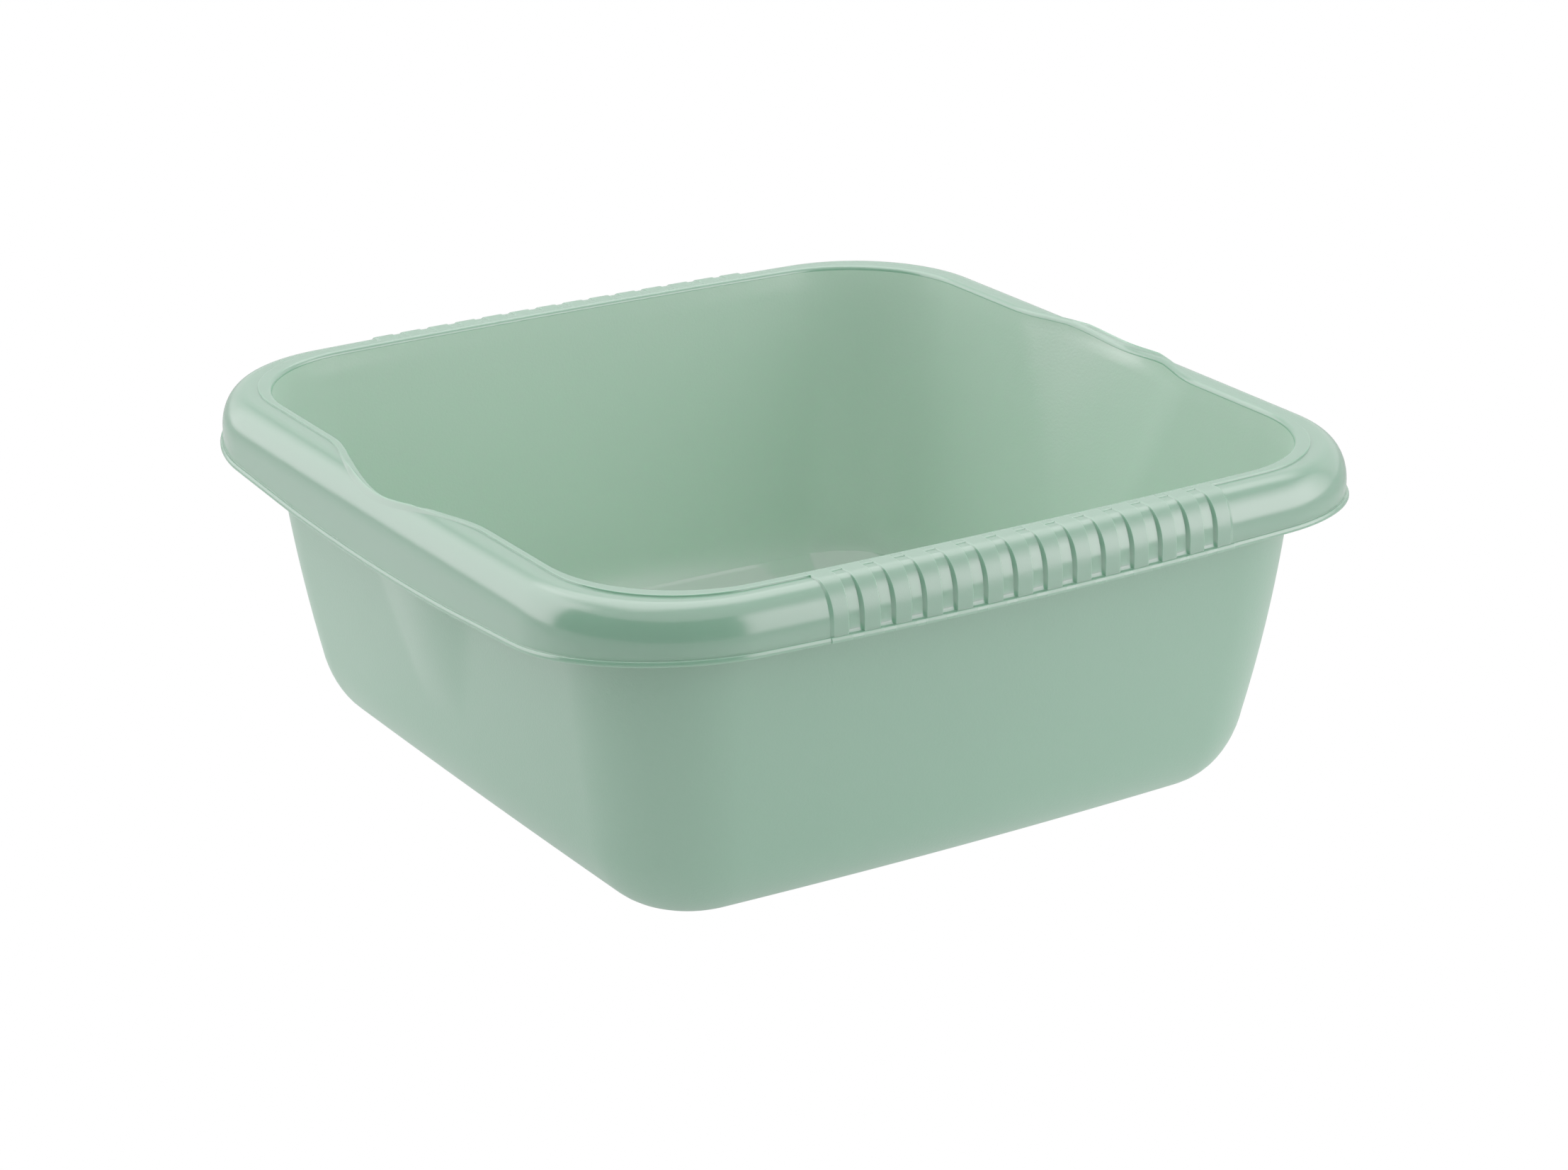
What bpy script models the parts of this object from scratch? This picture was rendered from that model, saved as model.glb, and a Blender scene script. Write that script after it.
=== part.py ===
"""Square washing-up basin, one injection moulding in sage green polypropylene.

The basin is a thin open shell. Its rim is a rolled arch, open underneath, that ends in a lip
bead. Two opposite sides have a pouring spout, where the inner wall runs out through the rim.
The other two sides have a moulded grip of raised bands. Lengths are in metres, +Z is up, the
origin is under the middle of the base, and the spouts look along X.
"""
import math

import bmesh
import bpy

# Plan of the lip
WIDTH = 0.380
DEPTH = 0.380
LIP_CORNER = 0.0686
SPOUT_SIDE_BOW = 14.0
GRIP_SIDE_BOW = 3.15

# Heights above the surface that the basin stands on
LEDGE_HEIGHT = 0.1482
LIP_HEIGHT = 0.1253
LIP_DROOP = 0.0084
LIP_CORNER_RISE = 0.0030

# Rim section, as insets from the lip on the grip sides and on the spout sides
LEDGE_STEP = 0.0007
BEAD_HEIGHT = 0.0015
BEAD_SHOULDER = 0.0007
SKIRT_TOP_DROP = 0.0158
SKIRT_INSET = 0.0013
CREST_INSET_GRIP = 0.0117
CREST_INSET_SPOUT = 0.0122
STEP_INSET_GRIP = 0.0150
STEP_INSET_SPOUT = 0.0188
STEP_SLOPE = 0.0004
OPENING_INSET_GRIP = 0.0200
OPENING_INSET_SPOUT = 0.0208
OPENING_CORNER = 0.0553
OPENING_FILLET = 0.0014
RIM_WALL = 0.0017

# Body wall and base
WALL = 0.0017
DRAFT_GRIP = 0.079
DRAFT_SPOUT = 0.094
BARREL = 0.0059
BODY_BOW_SPOUT = 9.0
BODY_BOW_GRIP = 2.5
BASE_CORNER = 0.0446
BASE_FILLET_WIDTH = 0.0274
BASE_FILLET_HEIGHT = 0.0309
BASE_FILLET_FULLNESS = 0.76
FOOT_WIDTH = 0.0080
FOOT_HEIGHT = 0.0010
FLOOR_THICKNESS = 0.0019

# Pouring spout
SPOUT_HALF_WIDTH = 0.056
SPOUT_DEPTH = 0.0103
SPOUT_LEDGE_EXTRA = 0.0038
SPOUT_END_SOFTNESS = 0.0045
SPOUT_FALL = 0.098
SPOUT_NARROWING = 0.72

# Grip of raised bands
BAND_COUNT = 14
BAND_PITCH = 0.01375
BAND_WIDTH = 0.0074
BAND_SIDE = 0.0009
BAND_RAISE = 0.0010
SLEEVE_FOOT = 0.0012
SLEEVE_FOOT_SLOPE = 0.0004

# Fineness of the mesh
SPOUT_COLUMNS = 10
SPOUT_COLUMNS_REACH = 1.25
CORNER_COLUMNS = 7
SHOULDER_COLUMNS = 2
ARCH_RINGS = 5
WALL_RINGS = 5
FILLET_RINGS = 5
KEPT_COLUMN_STEP = 8
SHARP_ANGLE = 35

# Values worked out from the sizes above
HALF_WIDTH = WIDTH / 2
HALF_DEPTH = DEPTH / 2
RIM_TOP = LEDGE_HEIGHT - LEDGE_STEP
SKIRT_TOP = RIM_TOP - SKIRT_TOP_DROP
FLOOR_HEIGHT = FOOT_HEIGHT + FLOOR_THICKNESS
OPENING_EDGE = LEDGE_HEIGHT - OPENING_FILLET
SLEEVE_HALF = (BAND_COUNT - 1) / 2 * BAND_PITCH + BAND_WIDTH / 2 + BAND_SIDE
FLAT_UNIT = 0.008


def sagitta(along, radius):
    """How far a side of this bow radius lies inside its middle, this far along it."""
    return radius - math.sqrt(radius * radius - along * along)


def corner_circle(half_x, half_y, bow_x, bow_y, corner):
    """Centre of the corner arc and the two angles where it meets the bowed sides."""
    middle_x = (half_x - bow_x, 0.0)
    middle_y = (0.0, half_y - bow_y)
    reach_x = bow_x - corner
    reach_y = bow_y - corner
    span = math.hypot(middle_x[0], middle_y[1])
    along = (-middle_x[0] / span, middle_y[1] / span)
    split = (reach_x ** 2 - reach_y ** 2 + span ** 2) / (2 * span)
    rise = math.sqrt(reach_x ** 2 - split ** 2)
    centre_x = middle_x[0] + along[0] * split - along[1] * rise
    centre_y = along[1] * split + along[0] * rise
    start = math.atan2(centre_y, centre_x - middle_x[0])
    end = math.atan2(centre_y - middle_y[1], centre_x)
    return centre_x, centre_y, start, end


def grip_columns():
    """Positions along half a grip side, from the sleeve's end to its middle.

    Each is a tuple: the position, whether a band is there, whether the coarse rings keep it.
    """
    columns = []
    for band in range(BAND_COUNT):
        centre = (band - (BAND_COUNT - 1) / 2) * BAND_PITCH
        for offset, raised in (
            (-BAND_WIDTH / 2 - BAND_SIDE, False),
            (-BAND_WIDTH / 2, True),
            (BAND_WIDTH / 2, True),
            (BAND_WIDTH / 2 + BAND_SIDE, False),
        ):
            if centre + offset > 0:
                columns.append((centre + offset, raised))
    columns.sort(reverse=True)
    kept = [index % KEPT_COLUMN_STEP == 0 for index in range(len(columns))]
    kept[-1] = False
    return [(place, raised, keep) for (place, raised), keep in zip(columns, kept)]


class Column:
    """One column of the shell: its place on the outline, its sleeve state and its spout share."""

    def __init__(self, x, y, raised=False, sleeve=False, kept=True, on_spout_side=False):
        self.x = x
        self.y = y
        self.raised = raised
        self.sleeve = sleeve
        self.kept = kept
        self.on_spout_side = on_spout_side


def quarter_columns(half_x, half_y, bow_x, bow_y, corner):
    """Columns of the first quarter of an outline, from the X axis round to the Y axis."""
    centre_x, centre_y, start, end = corner_circle(half_x, half_y, bow_x, bow_y, corner)
    tangent_y = centre_y + corner * math.sin(start)
    tangent_x = centre_x + corner * math.cos(end)
    columns = []
    for index in range(SPOUT_COLUMNS + 1):
        y = min(SPOUT_HALF_WIDTH * SPOUT_COLUMNS_REACH, tangent_y) * index / SPOUT_COLUMNS
        columns.append(Column(half_x - sagitta(y, bow_x), y, on_spout_side=True))
    for index in range(CORNER_COLUMNS + 1):
        angle = start + (end - start) * index / CORNER_COLUMNS
        x = centre_x + corner * math.cos(angle)
        y = centre_y + corner * math.sin(angle)
        columns.append(Column(x, y))
    for index in range(1, SHOULDER_COLUMNS):
        x = tangent_x + (SLEEVE_HALF - tangent_x) * index / SHOULDER_COLUMNS
        columns.append(Column(x, half_y - sagitta(x, bow_y)))
    for x, raised, kept in grip_columns():
        columns.append(Column(x, half_y - sagitta(x, bow_y), raised, True, kept))
    columns.append(Column(0.0, half_y, False, True, True))
    return columns


def outline_columns(half_x, half_y, bow_x, bow_y, corner):
    """Columns of the whole outline, counter-clockwise from the +X side's middle."""
    quarter = quarter_columns(half_x, half_y, bow_x, bow_y, corner)
    whole = []
    for sign_x, sign_y, backwards in ((1, 1, False), (-1, 1, True), (-1, -1, False), (1, -1, True)):
        part = list(reversed(quarter)) if backwards else quarter
        for column in part[:-1]:
            copy = Column(column.x * sign_x, column.y * sign_y, column.raised, column.sleeve,
                          column.kept, column.on_spout_side)
            whole.append(copy)
    return whole


def spout_share(along, half_width):
    """Spout depth here as a share of its depth in the middle: an arc with soft ends."""
    softness = SPOUT_END_SOFTNESS / (SPOUT_DEPTH + SPOUT_LEDGE_EXTRA)
    arc = 1 - (along / half_width) ** 2
    blend = max(softness - abs(arc), 0) / softness
    return max(arc, 0) + blend * blend * softness / 4


def wall_spout(along, height):
    """How far the spout pushes the body wall out at this height."""
    fall = (OPENING_EDGE - height) / SPOUT_FALL
    if fall >= 1:
        return 0.0
    fall = max(fall, 0.0)
    half_width = SPOUT_HALF_WIDTH * (1 - SPOUT_NARROWING * fall)
    return SPOUT_DEPTH * (1 - fall) * spout_share(along, half_width)


def step_spout(along):
    """How far the spout pushes the step line out across the rim."""
    return (SPOUT_DEPTH + SPOUT_LEDGE_EXTRA) * spout_share(along, SPOUT_HALF_WIDTH)


def arch_travel(inset, foot, crest):
    """Travel along the arch to this inset: 0 to 1 on the curve, more than 1 on the flat top."""
    if inset >= crest:
        return 1 + (inset - crest) / FLAT_UNIT
    share = max(min((inset - foot) / (crest - foot), 1), 0)
    return math.acos(1 - share) / (math.pi / 2)


def arch_point(travel, foot, crest, bottom, top):
    """Inset and height at this travel along the arch."""
    if travel >= 1:
        return crest + (travel - 1) * FLAT_UNIT, top
    angle = travel * math.pi / 2
    return foot + (crest - foot) * (1 - math.cos(angle)), bottom + (top - bottom) * math.sin(angle)


def lip_sway(x, y):
    """Height of the lip here over its height at the middle of a grip side."""
    across = (x / HALF_WIDTH) ** 2
    along = (y / HALF_DEPTH) ** 2
    return LIP_CORNER_RISE * across * along - LIP_DROOP * across * (1 - along)


class Ring:
    """One level of the shell, as insets from the lip, a height and a corner radius."""

    def __init__(self, inset_x, inset_y, height, corner, bow_x=SPOUT_SIDE_BOW, bow_y=GRIP_SIDE_BOW):
        self.inset_x = inset_x
        self.inset_y = inset_y
        self.height = height
        self.corner = corner
        self.bow_x = bow_x
        self.bow_y = bow_y
        self.sway = 0.0
        self.arch_offset = None
        self.wall_spout = False
        self.ledge = False
        self.offset = None
        self.pockets = False
        self.dense = False


def ring_points(ring):
    """Points of a ring with their kept flags, counter-clockwise from the +X side's middle."""
    half_x = HALF_WIDTH - ring.inset_x
    half_y = HALF_DEPTH - ring.inset_y
    points = []
    for column in outline_columns(half_x, half_y, ring.bow_x, ring.bow_y, ring.corner):
        if not (ring.dense or column.kept):
            continue
        x, y, z = column.x, column.y, ring.height
        if ring.sway:
            z += ring.sway * lip_sway(x, y)
        if column.on_spout_side:
            push, lift = spout_move(ring, y)
            x += math.copysign(push, x)
            z += lift
        if ring.offset and column.sleeve and (column.raised or not ring.pockets):
            if abs(column.x) < SLEEVE_HALF - BAND_SIDE / 2:
                y += math.copysign(ring.offset[0], y)
                z += ring.offset[1]
        points.append(((x, y, z), column.kept))
    return points


def step_level(along):
    """Height of the rim's outer face at the step line on a spout side."""
    travel = arch_travel(STEP_INSET_SPOUT - step_spout(along), SKIRT_INSET, CREST_INSET_SPOUT)
    return arch_point(travel, SKIRT_INSET, CREST_INSET_SPOUT, SKIRT_TOP, RIM_TOP)[1]


def spout_move(ring, along):
    """Outward push and lift that the spout gives a ring's point on a spout side."""
    level = step_level(along)
    ceiling = level + LEDGE_STEP - RIM_WALL
    if ring.wall_spout:
        return wall_spout(along, ring.height), min(ceiling - ring.height, 0.0)
    step_inset = STEP_INSET_SPOUT - step_spout(along)
    crest = CREST_INSET_SPOUT
    if ring.ledge:
        if ring.inset_x > STEP_INSET_SPOUT + STEP_SLOPE:
            return wall_spout(along, OPENING_EDGE), level - RIM_TOP
        return step_spout(along), level - RIM_TOP
    if ring.arch_offset is None:
        return 0.0, 0.0
    thick = ring.arch_offset
    foot = SKIRT_INSET + thick
    end = STEP_INSET_SPOUT
    end_here = step_inset
    if thick:
        end = OPENING_INSET_SPOUT - WALL
        end_here = end - wall_spout(along, RIM_TOP)
    share = arch_travel(end_here, foot, crest) / arch_travel(end, foot, crest)
    travel = arch_travel(ring.inset_x, foot, crest) * share
    inset, height = arch_point(travel, foot, crest, SKIRT_TOP, RIM_TOP - thick)
    if thick:
        height = min(height, ceiling)
    return ring.inset_x - inset, height - ring.height


def lip_rings():
    """Bead and skirt, from the lip's underside up to the foot of the arch."""
    rings = []
    under = Ring(RIM_WALL, RIM_WALL, LIP_HEIGHT, LIP_CORNER - RIM_WALL)
    edge = Ring(0.0, 0.0, LIP_HEIGHT, LIP_CORNER)
    bead = Ring(0.0, 0.0, LIP_HEIGHT + BEAD_HEIGHT, LIP_CORNER)
    shoulder_z = LIP_HEIGHT + BEAD_HEIGHT + BEAD_SHOULDER
    shoulder = Ring(SKIRT_INSET, SKIRT_INSET, shoulder_z, LIP_CORNER - SKIRT_INSET)
    for ring in (under, edge, bead, shoulder):
        ring.sway = 1.0
        rings.append(ring)
    for ring in (edge, bead, shoulder):
        ring.offset = (BAND_RAISE, 0.0)
    for extra, pockets in ((SLEEVE_FOOT, False), (SLEEVE_FOOT + SLEEVE_FOOT_SLOPE, True)):
        ring = Ring(SKIRT_INSET, SKIRT_INSET, shoulder_z + extra,
                    LIP_CORNER - SKIRT_INSET)
        ring.sway = 1.0
        ring.offset = (BAND_RAISE, 0.0)
        ring.pockets = pockets
        rings.append(ring)
    for ring in rings:
        ring.dense = True
    return rings


def arch_ring(angle, thick):
    """Ring on the curve of the arch, this far under its outer face."""
    foot_x = SKIRT_INSET + thick
    foot_y = SKIRT_INSET + thick
    inset_x = foot_x + (CREST_INSET_SPOUT - foot_x) * (1 - math.cos(angle))
    inset_y = foot_y + (CREST_INSET_GRIP - foot_y) * (1 - math.cos(angle))
    height = SKIRT_TOP + (RIM_TOP - thick - SKIRT_TOP) * math.sin(angle)
    ring = Ring(inset_x, inset_y, height, LIP_CORNER - inset_y)
    ring.arch_offset = thick
    return ring


def band_offset(angle):
    """How far a band's face stands out from the arch here, outward and upward."""
    outward = (RIM_TOP - SKIRT_TOP) * math.cos(angle)
    upward = (CREST_INSET_GRIP - SKIRT_INSET) * math.sin(angle)
    rise = BAND_RAISE + (LEDGE_STEP - BAND_RAISE) * math.sin(angle) ** 2
    length = math.hypot(outward, upward)
    return rise * outward / length, rise * upward / length


def rim_rings():
    """Outer face of the rim, from the foot of the arch to the top of the ledge's step."""
    rings = []
    for index in range(ARCH_RINGS + 1):
        angle = math.pi / 2 * index / ARCH_RINGS
        ring = arch_ring(angle, 0.0)
        ring.offset = band_offset(angle)
        rings.append(ring)
    step_corner = LIP_CORNER - STEP_INSET_GRIP
    step = Ring(STEP_INSET_SPOUT, STEP_INSET_GRIP, RIM_TOP, step_corner)
    step.arch_offset = 0.0
    step.offset = (0.0, LEDGE_STEP)
    rings.append(step)
    for ring in rings:
        ring.pockets = True
        ring.dense = True
    ledge = Ring(STEP_INSET_SPOUT + STEP_SLOPE, STEP_INSET_GRIP + STEP_SLOPE, LEDGE_HEIGHT,
                 step_corner - STEP_SLOPE)
    ledge.ledge = True
    ledge.dense = True
    return rings + [ledge]


def opening_rings():
    """Round from the ledge into the inner wall."""
    rings = []
    for angle in (0.0, math.pi / 4, math.pi / 2):
        back = OPENING_FILLET * (1 - math.sin(angle))
        drop = OPENING_FILLET * (1 - math.cos(angle))
        ring = Ring(OPENING_INSET_SPOUT - back, OPENING_INSET_GRIP - back, LEDGE_HEIGHT - drop,
                    OPENING_CORNER + back)
        ring.ledge = True
        rings.append(ring)
    return rings


def wall_slope(draft):
    """Inward run of the wall for each unit of drop where it meets the base fillet."""
    return draft + 2 * BARREL / (RIM_TOP - BASE_FILLET_HEIGHT)


def wall_ring(height, thick):
    """Ring on the body wall at this height, this far inside its outer face."""
    drop = RIM_TOP - height
    whole = RIM_TOP - BASE_FILLET_HEIGHT
    barrel = BARREL * (drop / whole) ** 2
    inset_x = OPENING_INSET_SPOUT - WALL + DRAFT_SPOUT * drop + barrel
    inset_y = OPENING_INSET_GRIP - WALL + DRAFT_GRIP * drop + barrel
    corner = OPENING_CORNER + WALL + (BASE_CORNER - OPENING_CORNER - WALL) * drop / whole
    ring = Ring(inset_x + thick, inset_y + thick, height, corner - thick, BODY_BOW_SPOUT,
                BODY_BOW_GRIP)
    ring.wall_spout = True
    return ring


def wall_rings(top, thick):
    """Rings of the body wall from its top down to the base fillet."""
    rings = []
    for index in range(WALL_RINGS + 1):
        height = top + (BASE_FILLET_HEIGHT - top) * index / WALL_RINGS
        rings.append(wall_ring(height, thick))
    return rings


def fillet_rings(thick, level):
    """Rings of the rounded base edge, a conic that leaves the wall and meets the base smoothly."""
    rings = []
    start = wall_ring(BASE_FILLET_HEIGHT, thick)
    fall = BASE_FILLET_HEIGHT - level
    width = BASE_FILLET_WIDTH - thick
    for index in range(1, FILLET_RINGS + 1):
        share = index / FILLET_RINGS
        middle = 2 * BASE_FILLET_FULLNESS * share * (1 - share)
        total = (1 - share) ** 2 + middle + share ** 2
        run_x = (middle * wall_slope(DRAFT_SPOUT) * fall + share ** 2 * width) / total
        run_y = (middle * wall_slope(DRAFT_GRIP) * fall + share ** 2 * width) / total
        height = level + (1 - share) ** 2 * fall / total
        ring = Ring(start.inset_x + run_x, start.inset_y + run_y, height,
                    start.corner - run_y, BODY_BOW_SPOUT, BODY_BOW_GRIP)
        rings.append(ring)
    return rings


def foot_rings():
    """Foot ring under the base and the step into its shallow recess."""
    last = fillet_rings(0.0, 0.0)[-1]
    rings = []
    for extra, height in ((FOOT_WIDTH, 0.0), (FOOT_WIDTH + FOOT_HEIGHT, FOOT_HEIGHT)):
        ring = Ring(last.inset_x + extra, last.inset_y + extra, height,
                    max(last.corner - extra, FOOT_HEIGHT), BODY_BOW_SPOUT, BODY_BOW_GRIP)
        rings.append(ring)
    return rings


def channel_rings():
    """Inside of the rolled rim, from the body wall's top out and down to the lip."""
    rings = []
    for index in range(ARCH_RINGS, -1, -1):
        rings.append(arch_ring(math.pi / 2 * index / ARCH_RINGS, RIM_WALL))
    return rings


def shell_rings():
    """Every ring of the shell, from the recess under the base round to the inner floor."""
    outside = list(reversed(foot_rings()))
    outside += list(reversed(fillet_rings(0.0, 0.0)))
    outside += list(reversed(wall_rings(RIM_TOP - RIM_WALL, 0.0)))
    rim = channel_rings() + lip_rings() + rim_rings() + opening_rings()
    inside = wall_rings(OPENING_EDGE, WALL)[1:] + fillet_rings(WALL, FLOOR_HEIGHT)
    return outside + rim + inside


def loop_of(mesh, ring):
    """Vertices of a ring, each with its kept flag."""
    return [(mesh.verts.new(place), kept) for place, kept in ring_points(ring)]


def join_alike(mesh, lower, upper):
    """Quads between two rings with the same columns."""
    count = len(lower)
    for index in range(count):
        following = (index + 1) % count
        mesh.faces.new((lower[index][0], lower[following][0], upper[following][0], upper[index][0]))


def join_unlike(mesh, few, many, few_is_lower):
    """Faces between a coarse ring and a dense one, one for each span of the coarse ring."""
    kept = [index for index, (_, keep) in enumerate(many) if keep]
    for place, first in enumerate(kept):
        last = kept[(place + 1) % len(kept)]
        span = (last - first) % len(many)
        dense = [many[(first + step) % len(many)][0] for step in range(span + 1)]
        coarse = [few[place][0], few[(place + 1) % len(few)][0]]
        if few_is_lower:
            mesh.faces.new(coarse + list(reversed(dense)))
        else:
            mesh.faces.new(dense + list(reversed(coarse)))


def basin_mesh():
    """Mesh of the whole basin."""
    mesh = bmesh.new()
    rings = shell_rings()
    loops = [loop_of(mesh, ring) for ring in rings]
    for lower, upper in zip(loops, loops[1:]):
        if len(lower) == len(upper):
            join_alike(mesh, lower, upper)
        else:
            few_is_lower = len(lower) < len(upper)
            few, many = (lower, upper) if few_is_lower else (upper, lower)
            join_unlike(mesh, few, many, few_is_lower)
    mesh.faces.new([vertex for vertex, _ in reversed(loops[0])])
    mesh.faces.new([vertex for vertex, _ in loops[-1]])
    bmesh.ops.triangulate(mesh, faces=mesh.faces[:], ngon_method='BEAUTY')
    bmesh.ops.recalc_face_normals(mesh, faces=mesh.faces[:])
    data = bpy.data.meshes.new("basin")
    mesh.to_mesh(data)
    mesh.free()
    return data


def polypropylene():
    """Sage green moulded polypropylene."""
    material = bpy.data.materials.new("sage_polypropylene")
    material.use_nodes = True
    shader = material.node_tree.nodes["Principled BSDF"]
    shader.inputs["Base Color"].default_value = (0.34, 0.49, 0.40, 1.0)
    shader.inputs["Roughness"].default_value = 0.35
    shader.inputs["Metallic"].default_value = 0.0
    return material


def clear_scene():
    """Remove the objects that a new file starts with."""
    for item in list(bpy.data.objects):
        bpy.data.objects.remove(item, do_unlink=True)


def build_basin():
    """The basin as one object, smooth but for its real edges."""
    data = basin_mesh()
    data.materials.append(polypropylene())
    basin = bpy.data.objects.new("basin", data)
    bpy.context.scene.collection.objects.link(basin)
    data.shade_smooth()
    data.set_sharp_from_angle(angle=math.radians(SHARP_ANGLE))
    return basin


clear_scene()
build_basin()
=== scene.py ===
"""Looks of the square basin, one sage green moulding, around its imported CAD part."""

import math

import bmesh
import bpy
from mathutils import Matrix, Vector


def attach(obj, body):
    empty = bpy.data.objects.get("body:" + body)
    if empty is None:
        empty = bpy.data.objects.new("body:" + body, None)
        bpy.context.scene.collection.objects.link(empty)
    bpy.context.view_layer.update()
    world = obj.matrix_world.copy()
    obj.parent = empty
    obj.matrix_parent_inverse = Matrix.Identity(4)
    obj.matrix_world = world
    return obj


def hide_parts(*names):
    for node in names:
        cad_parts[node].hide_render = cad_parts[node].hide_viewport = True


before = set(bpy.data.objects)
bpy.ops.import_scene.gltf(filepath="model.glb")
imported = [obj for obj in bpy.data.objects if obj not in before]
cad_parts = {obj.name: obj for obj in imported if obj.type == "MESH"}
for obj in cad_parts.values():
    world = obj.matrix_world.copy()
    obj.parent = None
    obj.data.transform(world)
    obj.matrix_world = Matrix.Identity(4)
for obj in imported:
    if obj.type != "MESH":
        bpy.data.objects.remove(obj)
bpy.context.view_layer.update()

# Plan of the lip
WIDTH = 0.380
DEPTH = 0.380
LIP_CORNER = 0.0686
SPOUT_SIDE_BOW = 14.0
GRIP_SIDE_BOW = 3.15

# Heights
LEDGE_HEIGHT = 0.1482
LIP_HEIGHT = 0.1253
LIP_DROOP = 0.0084
LIP_CORNER_RISE = 0.0030

# Rim section, insets from the lip
LEDGE_STEP = 0.0007
LEDGE_STEP_RUN = 0.0002
BEAD_HEIGHT = 0.0021
BEAD_FACE = 0.0008
BEAD_LEAN = 0.0009
BEAD_LEAN_ANGLES = (10, 17, 23, 29)
BEAD_ROUND = 0.0004
BEAD_ROUND_ANGLES = (40, 55, 70, 85)
BEAD_CORNER = 0.0002
LIP_EDGE = 0.0003
SKIRT_TOP_DROP = 0.0158
SKIRT_INSET = 0.0013
CREST_INSET_GRIP = 0.0117
CREST_INSET_SPOUT = 0.0122
STEP_INSET_GRIP = 0.0150
STEP_INSET_SPOUT = 0.0170
OPENING_INSET_GRIP = 0.0200
OPENING_INSET_SPOUT = 0.0208
OPENING_CORNER = 0.0553
OPENING_FILLET = 0.0019
RIM_WALL = 0.0017

# Body wall and base
WALL = 0.0017
DRAFT_GRIP = 0.079
DRAFT_SPOUT = 0.094
BARREL = 0.0059
BODY_BOW_SPOUT = 9.0
BODY_BOW_GRIP = 2.5
BASE_CORNER = 0.0446
CORNER_FULLNESS = 0.0020
BASE_FILLET_WIDTH = 0.0274
BASE_FILLET_HEIGHT = 0.0309
BASE_FILLET_FULLNESS = 0.76
FOOT_WIDTH = 0.0080
FOOT_HEIGHT = 0.0010
FOOT_ROUND = 0.0002
FLOOR_THICKNESS = 0.0019
CAP_MARGIN = 0.003

# Pouring spout
SPOUT_HALF_WIDTH = 0.056
SPOUT_DEPTH = 0.0114
SPOUT_LEDGE_EXTRA = 0.0009
SPOUT_RIDGE = 0.0022
SPOUT_RIDGE_RUN = 0.0010
SPOUT_EDGE_RISE = 0.0008
SPOUT_END_SOFTNESS = 0.0045
SPOUT_FALL = 0.098
SPOUT_NARROWING = 0.72
SPOUT_COLUMNS_END = 0.070

# Grip of raised bands, with a pocket between each two
BAND_PITCH = 0.01375
POCKETS = 7
POCKET_HALF = 0.0023
BAND_RAISE = 0.0005
POCKET_SINK = 0.0011
POCKET_TOP_LIFT = 0.00035
SIDE_FOOT = 0.12
SIDE_RUN = 0.0001
SIDE_RUN_FOR_DEPTH = 0.65
OUTERMOST_SIDE_RUN = 1.4

# Fineness of the mesh
SPOUT_COLUMNS = 36
CORNER_COLUMNS = 28
SHOULDER_COLUMNS = 6
SIDE_PLACES = (-0.1, 0.0, 0.06, 0.12, 0.5, 0.93, 1.0, 1.1)
ARCH_SECTIONS = 24
HOLLOW_SECTIONS = 10
FLAT_SECTIONS = 9
FLAT_END_GAP = 0.0001
STEP_SECTIONS = 6
STEP_SHARPNESS = 0.7
LEDGE_SHARES = (0.15, 0.35, 0.55, 0.75, 0.9)
OPENING_SECTIONS = 10
WALL_SECTIONS = 24
FILLET_SECTIONS = 14
POLISHED_FROM = WALL_SECTIONS + 5

HALF_WIDTH = WIDTH / 2
HALF_DEPTH = DEPTH / 2
RIM_TOP = LEDGE_HEIGHT - LEDGE_STEP
SKIRT_TOP = RIM_TOP - SKIRT_TOP_DROP
BEAD_TOP = LIP_HEIGHT + BEAD_HEIGHT
FLOOR_HEIGHT = FOOT_HEIGHT + FLOOR_THICKNESS
OPENING_EDGE = LEDGE_HEIGHT - OPENING_FILLET
FLAT_UNIT = 0.008

GRAINED, GLOSSY, BAND, INSIDE, FLOOR = range(5)

# Sage green plastic, each tint as its darker and lighter cloud; the pale inside tint also carries
# painted light
SAGE = (0.182, 0.392, 0.261), (0.190, 0.403, 0.269)
DEEP_SAGE = (0.170, 0.375, 0.248), (0.177, 0.386, 0.256)
# Inside tint, paler than the outer walls' tint of the same plastic: painted light and sheen on the
# inner walls and floor
SHEEN_PAINTED_SAGE = (0.378, 0.562, 0.436), (0.386, 0.572, 0.444)
CLOUD_SCALE = 9.0
CLOUD_RANGE = (0.35, 0.65)
PLASTIC_IOR = 1.8
FULL_LEVEL_REFLECTANCE = 0.1633
GLOW_DEPTH = 0.002
GLOW_SPREAD = (0.8, 1.0, 0.9)

# Studio
WHITE = (1.0, 1.0, 1.0, 1.0)
STUDIO_MATTE = 0.9
FLOOR_SIZE = 6.0
FLOOR_TONE = 0.35
# Painted pool of light on the floor: emission round the basin, stretched and turned to one side,
# standing in for the softboxes' light falling there
PAINTED_FLOOR_LIGHT = 0.6
PAINTED_FLOOR_LIGHT_TURN = -48
PAINTED_FLOOR_LIGHT_REACH = (1.3, 0.55, 1.0)
DARK_WALL_TONE = 0.05
DARK_WALL_DISTANCE = 2.4
DARK_WALL_HEIGHT = 2.2
DARK_WALL_START = -77
DARK_WALL_SWEEP = 118
FILL_LIGHT = 0.55
PICTURE_GAMMA = 1.5
SOFTBOX_LAYERS = 4
LAYER_GAP = 0.02
SOFTBOX_LEVEL = 0.1
OVERHEAD_AZIMUTH = 57.5
OVERHEAD_DISTANCE = 1.3
OVERHEAD_HEIGHT = 2.0
OVERHEAD_LAYERS = 3

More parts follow.
